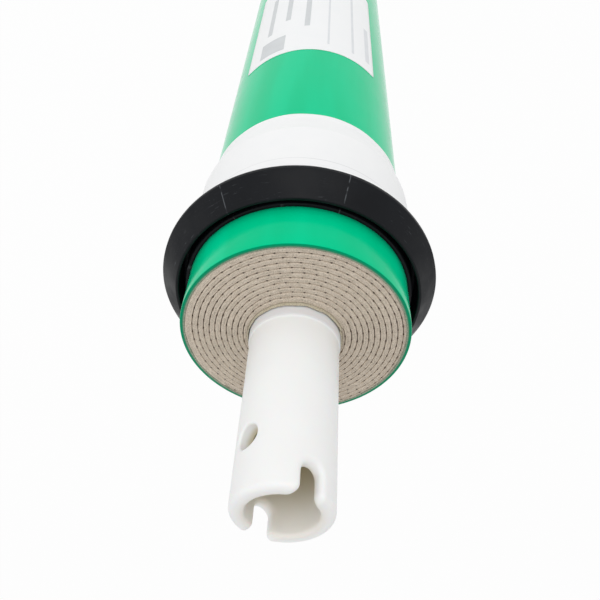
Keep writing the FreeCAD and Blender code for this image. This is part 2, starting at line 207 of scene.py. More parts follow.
def turn(outline, steps=256, closed=True, start=0.0, shift=None):
    """Points and faces of an (r, z) outline turned about the axis."""
    outline = np.array(outline)
    angles = math.radians(start) + np.arange(steps) * 2 * math.pi / steps
    radii = np.repeat(outline[None, :, 0], steps, 0)
    heights = np.repeat(outline[None, :, 1], steps, 0)
    if shift:
        radii, heights = shift(radii, heights, angles[:, None])
    across, along = radii * np.cos(angles)[:, None], radii * np.sin(angles)[:, None]
    points = np.stack([across, along, heights], 2).reshape(-1, 3)
    count = len(outline)
    faces = []
    for column in range(steps):
        here, there = column * count, (column + 1) % steps * count
        for row in range(count if closed else count - 1):
            above = (row + 1) % count
            faces.append((here + row, there + row, there + above, here + above))
    return points, faces


class Shell:
    """Points and faces gathered from several patches of one piece."""

    def __init__(self):
        self.points = []
        self.faces = []

    def add(self, points, faces):
        base = len(self.points)
        self.points += [tuple(point) for point in points]
        self.faces += [tuple(base + corner for corner in face) for face in faces]


# ---- materials -----------------------------------------------------------------------------------


class Finish:
    """A Principled material and short calls for the nodes that feed it."""

    def __init__(self, name, roughness=0.5, **constants):
        self.material = bpy.data.materials.new(name)
        self.material.use_nodes = True
        self.tree = self.material.node_tree
        self.shader = next(node for node in self.tree.nodes if node.type == "BSDF_PRINCIPLED")
        self.shader.inputs["Roughness"].default_value = roughness
        for socket, value in constants.items():
            self.shader.inputs[socket.replace("_", " ")].default_value = value

    def node(self, kind, feeds, **settings):
        made = self.tree.nodes.new(kind)
        for setting, value in settings.items():
            setattr(made, setting, value)
        for socket, value in feeds.items():
            self.feed(made.inputs[socket], value)
        return made

    def feed(self, socket, value):
        if isinstance(value, bpy.types.NodeSocket):
            self.tree.links.new(value, socket)
        elif isinstance(value, tuple) and len(value) == 3 and socket.type == "RGBA":
            socket.default_value = (*value, 1)
        else:
            socket.default_value = value

    def math(self, operation, *values, clamp=False):
        feeds = dict(enumerate(values))
        return self.node("ShaderNodeMath", feeds, operation=operation, use_clamp=clamp).outputs[0]

    def place(self):
        return self.node("ShaderNodeTexCoord", {}).outputs["Object"]

    def unwrapped(self):
        return self.node("ShaderNodeTexCoord", {}).outputs["UV"]

    def parts(self, vector):
        return self.node("ShaderNodeSeparateXYZ", {"Vector": vector}).outputs

    def joined(self, x, y, z):
        return self.node("ShaderNodeCombineXYZ", {"X": x, "Y": y, "Z": z}).outputs[0]

    def scaled(self, vector, scale):
        scaling = {"Vector": vector, "Scale": scale if isinstance(scale, tuple) else (scale,) * 3}
        return self.node("ShaderNodeMapping", scaling).outputs[0]

    def from_axis(self):
        x, y, _ = self.parts(self.place())
        return self.math("SQRT", self.math("ADD", self.math("MULTIPLY", x, x), self.math("MULTIPLY", y, y)))

    def noise(self, size, detail=3.0, stretch=(1, 1, 1), vector=None):
        """Noise whose features are about size millimetres."""
        vector = vector or self.place()
        scale = 1 / (size * MM)
        placed = self.scaled(vector, tuple(scale * axis for axis in stretch))
        feeds = {"Vector": placed, "Scale": 1.0, "Detail": detail}
        return self.node("ShaderNodeTexNoise", feeds).outputs["Fac"]

    def between(self, value, low, high, start=0.0, finish=1.0, smooth=True):
        feeds = {"Value": value, 1: low, 2: high, 3: start, 4: finish}
        kind = "SMOOTHSTEP" if smooth else "LINEAR"
        return self.node("ShaderNodeMapRange", feeds, interpolation_type=kind).outputs[0]

    def mix(self, share, first, second):
        made = self.node("ShaderNodeMix", {}, data_type="RGBA")
        self.feed(made.inputs[0], share)
        self.feed(made.inputs[6], first)
        self.feed(made.inputs[7], second)
        return made.outputs[2]

    def colour(self, value):
        self.feed(self.shader.inputs["Base Color"], value)

    def roughness(self, value):
        self.feed(self.shader.inputs["Roughness"], value)

    def relief(self, *layers):
        """Bumps stacked on each other: (height, depth in millimetres) pairs."""
        normal = None
        for height, depth in layers:
            feeds = {"Height": height, "Distance": depth * MM, "Strength": 1.0}
            if normal:
                feeds["Normal"] = normal
            normal = self.node("ShaderNodeBump", feeds).outputs[0]
        self.feed(self.shader.inputs["Normal"], normal)


def srgb(red, green, blue):
    """Linear colour of an 8-bit display colour."""
    values = [channel / 255 for channel in (red, green, blue)]
    return tuple(v / 12.92 if v <= 0.04045 else ((v + 0.055) / 1.055) ** 2.4 for v in values)


def tube_plastic():
    finish = Finish("tube_plastic", 0.42, Subsurface_Weight=0.1, Subsurface_Scale=0.0015)
    radius = finish.from_axis()
    height = finish.parts(finish.place())[2]
    # Inside the bore the colour turns darker and warmer with depth below the tip: painted shade in the bore.
    inside = finish.between(radius, (BORE_RADIUS + 1.5) * MM, (BORE_RADIUS + 0.1) * MM)
    depth = finish.between(height, (TUBE_TIP - 1) * MM, (TUBE_TIP - 14) * MM)
    bore_shade = finish.mix(depth, srgb(238, 235, 228), srgb(222, 212, 184))
    mottled = finish.mix(finish.noise(6.0), srgb(248, 248, 247), srgb(244, 245, 244))
    body = finish.mix(inside, mottled, bore_shade)
    # Grey below the shoulder, on the collar down to the roll's face: painted shade where the tube meets the
    # roll.
    collar_shade = finish.between(height, (ROLL_FACE + SHOULDER + 0.05) * MM, (ROLL_FACE + SHOULDER - 0.05) * MM)
    finish.colour(finish.mix(collar_shade, body, srgb(226, 225, 226)))
    finish.roughness(finish.between(finish.noise(1.2), 0.3, 0.7, 0.36, 0.48))
    finish.relief((finish.noise(3.0, 2.0), 0.02), (finish.noise(0.25, 2.0), 0.003))
    return finish.material


def ring_rubber():
    finish = Finish("ring_rubber", 0.4)
    finish.colour(finish.mix(finish.noise(1.5), srgb(26, 26, 27), srgb(40, 40, 41)))
    finish.roughness(finish.between(finish.noise(0.8), 0.3, 0.7, 0.32, 0.5))
    finish.relief((finish.noise(0.4), 0.01))
    return finish.material


def carrier_knit():
    finish = Finish("carrier_knit", 0.85)
    z = finish.parts(finish.place())[2]
    rib = finish.math("SINE", finish.math("MULTIPLY", z, 2 * math.pi / (0.5 * MM)))
    threads = finish.noise(0.18, 3.0)
    finish.colour(finish.mix(finish.between(threads, 0.35, 0.65), srgb(176, 167, 144), srgb(212, 204, 182)))
    finish.relief((rib, 0.03), (threads, 0.08))
    return finish.material


def leaf_film():
    """Cut edge of a glued leaf: pale film at both sides of a mottled carrier, streaked along the winding."""
    finish = Finish("leaf_film", 0.8)
    across, along, _ = finish.parts(finish.unwrapped())
    wound = finish.joined(finish.math("MULTIPLY", across, 0.9 * MM), along, 0.0)
    fibres = finish.noise(0.2, 4.0)
    streaks = finish.noise(0.5, 3.0, vector=wound, stretch=(5.0, 0.35, 1.0))
    patches = finish.noise(2.6, 2.0, vector=wound, stretch=(2.5, 1.0, 1.0))
    film = finish.mix(finish.between(fibres, 0.3, 0.7), srgb(202, 187, 168), srgb(234, 221, 204))
    core = finish.mix(finish.between(fibres, 0.35, 0.65), srgb(178, 164, 145), srgb(219, 207, 190))
    middle = finish.math("MULTIPLY", finish.between(across, 0.22, 0.34), finish.between(across, 0.78, 0.66))
    drift = finish.between(patches, 0.42, 0.62, -0.35, 0.35)
    mottle = finish.math("ADD", finish.between(streaks, 0.38, 0.62), drift)
    banded = finish.mix(finish.math("MULTIPLY", middle, mottle, clamp=True), film, core)
    dust = finish.between(finish.noise(0.14, 2.0), 0.66, 0.74)
    finish.colour(finish.mix(dust, banded, srgb(134, 117, 98)))
    finish.relief((finish.between(streaks, 0.2, 0.8), 0.09), (fibres, 0.12))
    return finish.material


def spacer_net():
    finish = Finish("spacer_net", 0.5)
    finish.colour(finish.mix(finish.noise(0.6), srgb(62, 46, 34), srgb(98, 78, 60)))
    finish.relief((finish.noise(0.3), 0.02))
    return finish.material


def wrap_film():
    """Glossy green tape; its cut edge goes from deep green through a dull line to crumbs of glue."""
    finish = Finish("wrap_film", 0.14, Specular_IOR_Level=0.07, Specular_Tint=(*srgb(60, 255, 200), 1.0))
    radius = finish.from_axis()
    height = finish.parts(finish.place())[2]
    ends = finish.math(
        "ADD",
        finish.between(height, (ROLL_FACE - 0.4) * MM, (ROLL_FACE - 0.25) * MM),
        finish.between(height, (ROLL_FOOT + 0.4) * MM, (ROLL_FOOT + 0.25) * MM),
    )
    crumbs = finish.noise(0.3, 4.0)
    ragged = finish.math("ADD", radius, finish.between(crumbs, 0.3, 0.7, -0.08 * MM, 0.08 * MM))
    # Lighter and darker green streaks along the axis: painted shade of wrinkles in the film.
    fold_shade = finish.noise(7.0, 2.0, stretch=(1.0, 1.0, 0.12))
    glaze = finish.mix(finish.between(fold_shade, 0.35, 0.65), srgb(0, 202, 142), srgb(0, 209, 150))
    glue = finish.mix(finish.between(crumbs, 0.35, 0.65), srgb(122, 138, 118), srgb(178, 180, 162))
    inked = finish.between(ragged, (WRAP_RADIUS - 0.8) * MM, (WRAP_RADIUS - 0.5) * MM)
    edge = finish.mix(inked, glue, srgb(38, 140, 104))
    rim = finish.between(ragged, (WRAP_RADIUS - 0.4) * MM, (WRAP_RADIUS - 0.25) * MM)
    edge = finish.mix(rim, edge, srgb(0, 150, 104))
    within = finish.between(radius, (WRAP_RADIUS - 0.02) * MM, (WRAP_RADIUS - 0.1) * MM)
    cut = finish.math("MULTIPLY", ends, within)
    finish.colour(finish.mix(cut, glaze, edge))
    finish.roughness(finish.math("ADD", finish.between(finish.noise(2.5), 0.3, 0.7, 0.1, 0.17),
                                 finish.math("MULTIPLY", cut, 0.6)))
    finish.relief((finish.noise(7.0, 1.0), 0.05), (finish.math("MULTIPLY", cut, crumbs), 0.15))
    return finish.material


def seal_rubber():
    """Handled black rubber: cloudy sheen, fine scuffs across the lip, grains of dust and two scratches."""
    finish = Finish("seal_rubber", 0.5, Specular_IOR_Level=0.12)
    x, y, height = finish.parts(finish.place())
    bearing = finish.math("ARCTAN2", y, x)
    round_axis = finish.joined(finish.math("MULTIPLY", bearing, 26 * MM), 0.0, height)
    cloud = finish.noise(8.0, 3.0)
    dark = finish.mix(cloud, srgb(12, 13, 16), srgb(26, 28, 32))
    scuffs = finish.between(finish.noise(0.8, 4.0, vector=round_axis, stretch=(0.3, 1.0, 3.0)), 0.6, 0.78)
    dust = finish.between(finish.noise(0.3, 4.0), 0.66, 0.8)
    worn = finish.math("MULTIPLY", finish.math("ADD", scuffs, dust), finish.between(cloud, 0.42, 0.62))
    marked = finish.math("MULTIPLY", worn, 0.45)
    scratch_angles = (-61.0, -112.0)
    for angle in scratch_angles:
        off = finish.math("ABSOLUTE", finish.math("SUBTRACT", bearing, math.radians(angle)))
        broken = finish.between(finish.noise(1.1), 0.4, 0.6)
        line = finish.math("MULTIPLY", finish.between(off, 0.005, 0.002), broken)
        marked = finish.math("MAXIMUM", marked, finish.math("MULTIPLY", line, 0.5))
    finish.colour(finish.mix(marked, dark, srgb(112, 116, 120)))
    finish.roughness(finish.between(cloud, 0.3, 0.7, 0.34, 0.58))
    finish.relief((finish.noise(0.3, 3.0), 0.015), (finish.noise(5.0, 2.0), 0.08))
    return finish.material


def tape_film():
    """White tape; thin grey lines of painted shade run round it at the step where its last layer ends and at
    a groove below it.
    """
    finish = Finish("tape_film", 0.45)
    height = finish.parts(finish.place())[2]
    white = finish.mix(finish.noise(5.0), srgb(250, 250, 250), srgb(245, 246, 247))
    wander = finish.between(finish.noise(12.0, 1.0), 0.3, 0.7, -0.12 * MM, 0.12 * MM)
    wavy = finish.math("ADD", height, wander)
    # Thin grey lines at the step and the groove: painted shade.
    shade_lines = []
    for depth, strength in TAPE_SHADE_LINES:
        off = finish.math("ABSOLUTE", finish.math("SUBTRACT", wavy, (ROLL_FACE - depth) * MM))
        shade_lines.append(finish.math("MULTIPLY", finish.between(off, 0.16 * MM, 0.06 * MM), strength))
    finish.colour(finish.mix(finish.math("MAXIMUM", *shade_lines), white, srgb(150, 152, 158)))
    finish.relief((finish.noise(4.0, 2.0), 0.06), (finish.noise(0.4, 2.0), 0.006))
    return finish.material


def label_film():
    finish = Finish("label_film", 0.38)
    finish.colour(finish.mix(finish.noise(7.0), srgb(249, 249, 250), srgb(244, 246, 247)))
    finish.relief((finish.noise(6.0, 1.0), 0.02))
    return finish.material


def label_ink(name, colour):
    """Plain pale field; its tone drifts a little along the bar."""
    finish = Finish(name, 0.5)
    paler = tuple(min(1.0, channel * 1.12) for channel in colour)
    finish.colour(finish.mix(finish.noise(4.0, 1.0), colour, paler))
    return finish.material


# ---- permeate tube -------------------------------------------------------------------------------


def arc_stations(angle, centre, radius, first, last, steps, side):
    """Stations along an arc; side is 1 where the plastic is outside the arc, -1 where it is inside."""
    stations = []
    for step in range(steps + 1):
        bearing = math.radians(first + (last - first) * step / steps)
        across, up = math.cos(bearing), math.sin(bearing)
        place = centre[0] + radius * across, centre[1] + radius * up
        stations.append((angle, *place, side * across, side * up))
    return stations


def notch_stations(angle):
    """Edge of one notch from one flare over its round floor to the other flare."""
    flare = NOTCH_HALF + NOTCH_FLARE
    flare_height = TUBE_TIP - NOTCH_FLARE
    floor_height = TUBE_TIP - NOTCH_DEPTH + NOTCH_HALF
    sides = np.linspace(flare_height, floor_height, 7)[1:-1]
    return (
        arc_stations(angle, (-flare, flare_height), NOTCH_FLARE, 90, 0, 8, -1)
        + [(angle, -NOTCH_HALF, height, -1, 0) for height in sides]
        + arc_stations(angle, (0, floor_height), NOTCH_HALF, 180, 360, 18, 1)
        + [(angle, NOTCH_HALF, height, 1, 0) for height in reversed(sides)]
        + arc_stations(angle, (flare, flare_height), NOTCH_FLARE, 180, 90, 8, -1)
    )


def tip_stations():
    """Edge of the tube's tip once round, notches included, from the seam."""
    seam = math.radians(SEAM_ANGLE)
    notches = [math.radians(NOTCH_ANGLE + 180), math.radians(NOTCH_ANGLE + 360)]
    half = math.asin((NOTCH_HALF + NOTCH_FLARE) / BORE_RADIUS) + 0.02
    stations = []
    for column in range(COLUMNS):
        angle = seam + column * 2 * math.pi / COLUMNS
        if all(abs(angle - notch) > half for notch in notches):
            stations.append((angle, 0, TUBE_TIP, 0, -1))
        for notch in notches:
            if angle <= notch < angle + 2 * math.pi / COLUMNS:
                stations += notch_stations(notch)
    return stations


def edge_rows(stations, outer_radius, inner_radius, outer_round, inner_round, steps=6):
    """Rows of points over a rounded edge, from the outside face round to the bore."""
    rows = []
    bends = [math.pi / 2 * step / steps for step in range(steps + 1)]
    for bend in reversed(bends):
        rows.append((outer_round * (1 - math.cos(bend)), outer_radius - outer_round * (1 - math.sin(bend))))
    for bend in bends:
        rows.append((inner_round * (1 - math.cos(bend)), inner_radius + inner_round * (1 - math.sin(bend))))
    placed = []
    for inset, radius in rows:
        ring = []
        for angle, across, height, lean, rise in stations:
            spread = across + lean * inset
            ring.append((angle + math.asin(spread / radius), radius, height + rise * inset))
        placed.append(ring)
    return placed


def on_tube(angle, radius, height):
    """A place on the tube, whose outside narrows a little from its shoulder to its tip."""
    stub_foot = ROLL_FACE + SHOULDER
    share = max(0.0, height - stub_foot) / (TUBE_TIP - stub_foot)
    radius -= TIP_DRAFT * share * max(0.0, radius - BORE_RADIUS) / (TUBE_RADIUS - BORE_RADIUS)
    return radius * math.cos(angle), radius * math.sin(angle), height


def add_rows(shell, rows):
    """Quads between neighbouring rows, closed round the edge."""
    count = len(rows[0])
    points = [on_tube(*station) for row in rows for station in row]
    faces = []
    for row in range(len(rows) - 1):
        for place in range(count):
            after = (place + 1) % count
            here, there = row * count, (row + 1) * count
            faces.append((here + place, here + after, there + after, there + place))
    shell.add(points, faces)


def inside(points, outline):
    """Even-odd test of points against one closed outline."""
    hits = np.zeros(len(points), bool)
    starts, finishes = outline, np.roll(outline, -1, 0)
    for (x1, y1), (x2, y2) in zip(starts, finishes):
        if y1 != y2:
            crosses = (points[:, 1] > min(y1, y2)) & (points[:, 1] <= max(y1, y2))
            at = x1 + (points[:, 1] - y1) * (x2 - x1) / (y2 - y1)
            hits ^= crosses & (points[:, 0] < at)
    return hits


def fill_sheet(shell, radius, upper, holes, foot, row_step):
    """Triangles over a cylinder from a ring at its foot up to the upper edge, round its holes."""
    seam = math.radians(SEAM_ANGLE)
    full = 2 * math.pi
    head = [(angle * radius, height) for angle, _, height in upper]
    head.append((head[0][0] + full * radius, head[0][1]))
    columns = [(seam + full * column / COLUMNS) * radius for column in range(COLUMNS + 1)]
    top = head[0][1]
    rows = np.linspace(foot, top, max(2, round((top - foot) / row_step) + 1))
    outline = head + [(columns[-1], height) for height in rows[-2:0:-1]]
    outline += [(column, foot) for column in reversed(columns)]
    outline += [(columns[0], height) for height in rows[1:-1]]
    loops = [outline] + [[(angle * radius, height) for angle, _, height in hole] for hole in holes]
    edge = np.array([point for loop in loops for point in loop])
    spacing = columns[1] - columns[0]
    grid = np.array([(column, height) for column in columns[1:-1] for height in rows[1:-1]])
    inner = inside(grid, np.array(outline))
    for loop in loops[1:]:
        inner &= ~inside(grid, np.array(loop))
    for point in edge:
        inner &= np.hypot(*(grid - point).T) > spacing * 0.6
    points, edges, base = [tuple(p) for p in edge] + [tuple(p) for p in grid[inner]], [], 0
    for loop in loops:
        edges += [(base + place, base + (place + 1) % len(loop)) for place in range(len(loop))]
        base += len(loop)
    made, _, triangles, *_ = delaunay_2d_cdt([Vector(p) for p in points], edges, [], 0, 1e-5)
    flat = np.array([tuple(p) for p in made])
    centres = np.array([flat[list(corners)].mean(0) for corners in triangles])
    keep = inside(centres, np.array(outline))
    for loop in loops[1:]:
        keep &= ~inside(centres, np.array(loop))
    placed = [on_tube(across / radius, radius, height) for across, height in flat]
    shell.add(placed, [corners for corners, kept in zip(triangles, keep) if kept])


def round_hole(angle, height, radius):
    angle = math.radians(angle)
    while angle < math.radians(SEAM_ANGLE):
        angle += 2 * math.pi
    return arc_stations(angle, (0, height), radius, 0, 360, 32, 1)[:-1]


def make_tube():
    shell = Shell()
    tip = edge_rows(tip_stations(), TUBE_RADIUS, BORE_RADIUS, TIP_ROUND, MOUTH_ROUND)
    side = edge_rows(round_hole(HOLE_ANGLE, TUBE_TIP - HOLE_DROP, HOLE_RADIUS), TUBE_RADIUS, BORE_RADIUS,
                     HOLE_ROUND, HOLE_ROUND / 2)
    add_rows(shell, tip)
    add_rows(shell, side)
    shoulder_top = ROLL_FACE + SHOULDER
    core_top, core_foot = shoulder_top - CORE_BEVEL, ROLL_FOOT - SHOULDER + CORE_BEVEL
    fill_sheet(shell, TUBE_RADIUS, tip[0], [side[0]], shoulder_top, 0.8)
    fill_sheet(shell, BORE_RADIUS, tip[-1], [side[-1]], WEB_TOP, 0.8)

    heights = np.linspace(ROLL_FOOT + PERFORATION_MARGIN, ROLL_FACE - PERFORATION_MARGIN, PERFORATIONS)
    holes = []
    for angle in (NOTCH_ANGLE, NOTCH_ANGLE + 180):
        for height in heights:
            hole = edge_rows(round_hole(angle, height, PERFORATION_RADIUS), CORE_RADIUS, BORE_RADIUS,
                             PERFORATION_ROUND, PERFORATION_ROUND, 2)
            add_rows(shell, hole)
            holes.append(hole)
    seam = math.radians(SEAM_ANGLE)
    ring = [seam + 2 * math.pi * column / COLUMNS for column in range(COLUMNS)]
    outlet_top = TUBE_FOOT + OUTLET_LENGTH
    taper_top = outlet_top + BORE_TAPER
    core_head = [(angle, 0, core_top) for angle in ring]
    bore_head = [(angle, 0, WEB_FOOT) for angle in ring]
    fill_sheet(shell, CORE_RADIUS, core_head, [hole[0] for hole in holes], core_foot, 6.0)
    fill_sheet(shell, BORE_RADIUS, bore_head, [hole[-1] for hole in holes], taper_top, 6.0)

    def groove(foot):
        top = foot + GROOVE_WIDTH
        return [(TUBE_RADIUS, foot), (GROOVE_FLOOR, foot), (GROOVE_FLOOR, top), (TUBE_RADIUS, top)]

    step = [(CORE_RADIUS, core_top), (TUBE_RADIUS + 0.16, shoulder_top - 0.03), (TUBE_RADIUS, shoulder_top)]
    spigot = [
        (OUTLET_RADIUS, outlet_top),
        (OUTLET_RADIUS, 0.5),
        (OUTLET_RADIUS + 0.15, 0.15),
        (OUTLET_RADIUS + 0.5, 0),
        (TUBE_RADIUS - 0.75, 0),
        (TUBE_RADIUS - 0.45, 0.15),
        (TUBE_RADIUS - 0.1, 1.0),
        (TUBE_RADIUS, 1.5),
        *groove(GROOVE_FEET[0]),
        *groove(GROOVE_FEET[1]),
        (TUBE_RADIUS, core_foot - CORE_BEVEL),
        (CORE_RADIUS - 0.08, core_foot - 0.2),
        (CORE_RADIUS, core_foot),
    ]
    taper = [(BORE_RADIUS, taper_top), (OUTLET_RADIUS, outlet_top)]
    web = [[(BORE_RADIUS, height), (0, height)] for height in (WEB_FOOT, WEB_TOP)]
    for outline in (step, spigot, taper, *web):
        shell.add(*turn(outline, COLUMNS, closed=False, start=SEAM_ANGLE))
    return make_piece("tube", shell.points, shell.faces, tube_plastic(), "tube_plastic", ["permeate_tube"])


def make_o_rings():
    for name, node in (("o_ring_low", "lower_o_ring"), ("o_ring_high", "upper_o_ring")):
        outer, foot, top = reach(node)
        cord = (top - foot) / 2
        bends = [2 * math.pi * step / 24 for step in range(24)]
        section = [(outer - cord + cord * math.cos(b), foot + cord + cord * math.sin(b)) for b in bends]
        make_piece(name, *turn(section, 160), ring_rubber(), "ring_rubber", [node])


# ---- wound roll ----------------------------------------------------------------------------------


def channel_radius(swept):
    """Radius of the feed channel's middle after an angle swept from its start."""
    return CHANNEL_RADIUS + PITCH * swept / (2 * math.pi)


def off_centre(radius, angle):
    """The windings lie a little off the axis, held true at the tube and under the wrap."""
    held = np.clip((radius - 9.4) / 0.8, 0, 1) * np.clip((LEAF_OUTER - radius) / 1.2, 0, 1)
    return radius - OFF_CENTRE * held * np.cos(angle)


def dome(radius):
    """How far the wound layers stand out of the roll's faces."""
    inward = np.clip((LEAF_OUTER - radius) / (LEAF_OUTER - CHANNEL_RADIUS), 0, 1)
    return DOME * inward + COLLAR * np.exp(-np.maximum(radius - CHANNEL_RADIUS, 0) / 0.5)


def channel_length(swept):
    return CHANNEL_RADIUS * swept + PITCH * swept ** 2 / (4 * math.pi)


def channel_width(swept):
    """The leaf stands off the net at its strands and sags between them."""
    off = (channel_length(swept) / STRAND_STEP) % 1.0
    off = np.minimum(off, 1 - off) * STRAND_STEP
    return CHANNEL_NARROW + (CHANNEL_WIDE - CHANNEL_NARROW) * np.exp(-((off / CHANNEL_EASE) ** 2))


def waves(places, scale, height, seed):
    """Smooth seeded ripple along a line."""
    random = np.random.default_rng(seed)
    total = np.zeros_like(places)
    for octave in range(4):
        phase, stretch = random.uniform(0, 2 * math.pi), random.uniform(0.8, 1.25)
        total += np.sin(places * 2 * math.pi * stretch * 1.7 ** octave / scale + phase) / 1.5 ** octave
    return total * height / 2


CUT_EDGE = 0.1
RIBBON_SECTION = (
    (0, 0, 2.5), (0, 0, 0.5), (0, 0, CUT_EDGE), (0, CUT_EDGE * 0.3, CUT_EDGE * 0.3), (0, CUT_EDGE, 0),
    (0.5, 0, -0.02),
    (1, -CUT_EDGE, 0), (1, -CUT_EDGE * 0.3, CUT_EDGE * 0.3), (1, 0, CUT_EDGE), (1, 0, 0.5), (1, 0, 2.5),
)


def wind(inner, outer, angle, along, faces_at, lift):
    """Closed ribbon between two radii along a winding, with rounded edges at both faces."""
    width = outer - inner
    columns, uvs = [], []
    for face, sign in faces_at:
        for share, inset, drop in (RIBBON_SECTION if sign < 0 else reversed(RIBBON_SECTION)):
            radius = inner + width * share + inset * np.minimum(1, width / 0.3)
            height = face - sign * lift(radius) * (drop < 0.4) + sign * drop
            columns.append(np.stack([radius * np.cos(angle), radius * np.sin(angle), height], 1))
            uvs.append(np.stack([(radius - inner) / np.maximum(width, 0.1), along], 1))
    grid = np.stack(columns, 1)
    count, ring = grid.shape[:2]
    faces = []
    for place in range(count - 1):
        for row in range(ring):
            after = (row + 1) % ring
            here, there = place * ring, (place + 1) * ring
            faces.append((here + row, there + row, there + after, here + after))
    faces.append(tuple(range(ring)))
    faces.append(tuple((count - 1) * ring + row for row in range(ring)))
    return grid.reshape(-1, 3), faces, np.stack(uvs, 1).reshape(-1, 2)


def make_carrier():
    swept = np.linspace(0, 2 * math.pi, 150)
    angle = CHANNEL_START - swept
    inner = CARRIER_RADIUS + CARRIER_PITCH * swept / (2 * math.pi)
    fray = waves(swept * 9, 5.0, 0.16, 11) - 0.15
    points, faces, uv = wind(inner, inner + CARRIER_THICK, angle, swept * 9 * MM,
                             ((CARRIER_TOP, -1), (CARRIER_FOOT, 1)), lambda radius: fray)
    return make_piece("carrier", points, faces, carrier_knit(), "carrier_knit", ["permeate_carrier"], uv=uv)


def make_leaf():
    """One ribbon, wound from its fold beside the carrier to its tail under the wrap."""
    lap = 2 * math.pi
    total = CHANNEL_TURNS * lap
    swept, step = [-lap], 0.34
    while swept[-1] < total:
        swept.append(swept[-1] + step / (channel_radius(swept[-1]) + PITCH / 2))
    swept = np.array(swept[:-1] + [total])
    angle = CHANNEL_START - swept
    beside_carrier = CARRIER_RADIUS + CARRIER_THICK + 0.03 + CARRIER_PITCH * (swept + lap) / lap
    before = off_centre(channel_radius(swept), angle) + channel_width(np.abs(swept)) / 2
    inner = np.where(swept < 0, beside_carrier, before)
    ahead = swept + lap
    after = off_centre(channel_radius(ahead), angle) - channel_width(np.abs(ahead)) / 2
    outer = np.maximum(np.where(ahead > total, LEAF_OUTER, after), inner + 0.02)
    ripple = waves(swept * 15, 9.0, 0.09, 5) - 0.06
    along = channel_length(np.abs(swept)) * np.sign(swept) * MM
    points, faces, uv = wind(inner, outer, angle, along, ((ROLL_FACE, -1), (ROLL_FOOT, 1)),
                             lambda radius: dome(radius) + ripple)
    return make_piece("leaf", points, faces, leaf_film(), "leaf_film", ["membrane_leaf"], uv=uv)


def strand_end(along, slant, layer, end, sign, lengths, swept):
    """One slanting strand of the net from the roll's face inwards, as a six-sided rod."""
    points = []
    for depth in STRAND_DEPTHS:
        place = np.interp(along + slant * depth * 0.5, lengths, swept)
        bearing = CHANNEL_START - place
        radius = float(off_centre(channel_radius(place), bearing)) + layer
        for corner in range(STRAND_SIDES):
            bend = corner * 2 * math.pi / STRAND_SIDES
            out, aside = 0.1 * math.cos(bend), 0.14 * math.sin(bend)
            turned = bearing + aside / radius
            height = end + sign * (depth - float(dome(radius)))
            points.append(((radius + out) * math.cos(turned), (radius + out) * math.sin(turned), height))
    faces = []
    for row in range(len(STRAND_DEPTHS) - 1):
        here, there = row * STRAND_SIDES, (row + 1) * STRAND_SIDES
        for corner in range(STRAND_SIDES):
            after = (corner + 1) % STRAND_SIDES
            faces.append((here + corner, here + after, there + after, there + corner))
    faces += [tuple(range(STRAND_SIDES)), tuple(there + corner for corner in range(STRAND_SIDES))]
    return points, faces


def make_net():
    """Feed spacer: a thin web in the channel with slanting strands that end near both faces."""
    shell = Shell()
    total = CHANNEL_TURNS * 2 * math.pi
    swept = np.linspace(0.02, total - 0.02, 1500)
    web_low, web_high = NET_FOOT + WEB_RECESS, NET_TOP - WEB_RECESS
    corners = ((-WEB_HALF, web_low), (WEB_HALF, web_low), (WEB_HALF, web_high), (-WEB_HALF, web_high))
    angle = CHANNEL_START - swept
    middle = off_centre(channel_radius(swept), angle)
    grid = np.stack([np.stack([(middle + off) * np.cos(angle), (middle + off) * np.sin(angle),
                               np.full_like(swept, height)], 1) for off, height in corners], 1)
    faces = []
    for place in range(len(swept) - 1):
        for row in range(4):
            after = (row + 1) % 4
            faces.append((place * 4 + row, place * 4 + 4 + row, place * 4 + 4 + after, place * 4 + after))
    faces += [(0, 1, 2, 3), tuple((len(swept) - 1) * 4 + row for row in range(4))]
    shell.add(grid.reshape(-1, 3), faces)
    lengths = channel_length(swept)
    for strand in range(1, int(channel_length(total) / STRAND_STEP)):
        for end, sign in ((ROLL_FACE - STRAND_RECESS, -1), (ROLL_FOOT + STRAND_RECESS, 1)):
            for slant, layer in STRAND_LAYERS:
                shell.add(*strand_end(strand * STRAND_STEP, slant, layer, end, sign, lengths, swept))
    return make_piece("net", shell.points, shell.faces, spacer_net(), "spacer_net", ["feed_spacer"])


def make_wrap():
    inner = LEAF_OUTER + LAY_GAP
    corners = [
        (inner, ROLL_FOOT, 0.1),
        (WRAP_RADIUS, ROLL_FOOT, 0.3),
        (WRAP_RADIUS, ROLL_FACE, 0.3),
        (inner, ROLL_FACE, 0.1),
    ]
    points, faces = turn(divide(soften(corners, 5), 3.0), 320)
    return make_piece("wrap", points, faces, wrap_film(), "wrap_film", ["outer_wrap"])


# ---- seal, tape and label ------------------------------------------------------------------------


def setback(depth):
    return ROLL_FACE - depth


def make_seal():
    leg, leg_top = SEAT + LEG_THICK, setback(11.0)
    floor, root = setback(16.4), setback(18.8)
    corners = [
        (SEAT, SEAL_TAIL, 0.1),
        (SLEEVE_RADIUS, SEAL_TAIL, 0.2),
        (SLEEVE_RADIUS, root, 0.8),
        (SEAL_RADIUS, setback(15.5), 0.42),
        (SEAL_RADIUS, setback(14.6), 0.42),
        (LIP_RADIUS, SEAL_NOSE, 0.28),
        (CAVITY_RADIUS, SEAL_NOSE, 0.28),
        (CAVITY_RADIUS, floor, 0.4),
        (leg, floor, 0.4),
        (leg, leg_top, 0.35),
        (SEAT, leg_top, 0.2),
    ]
    outline = divide(soften(corners, 7), 1.2)

    def sag(radii, heights, angles):
        out = np.clip((radii - CAVITY_RADIUS) / 4, 0, 1)
        return radii + out * 0.06 * np.sin(3 * angles + 0.7), heights + out * 0.12 * np.sin(2 * angles + 1.9)

    points, faces = turn(outline, 320, shift=sag)
    return make_piece("seal", points, faces, seal_rubber(), "seal_rubber", ["brine_seal"])


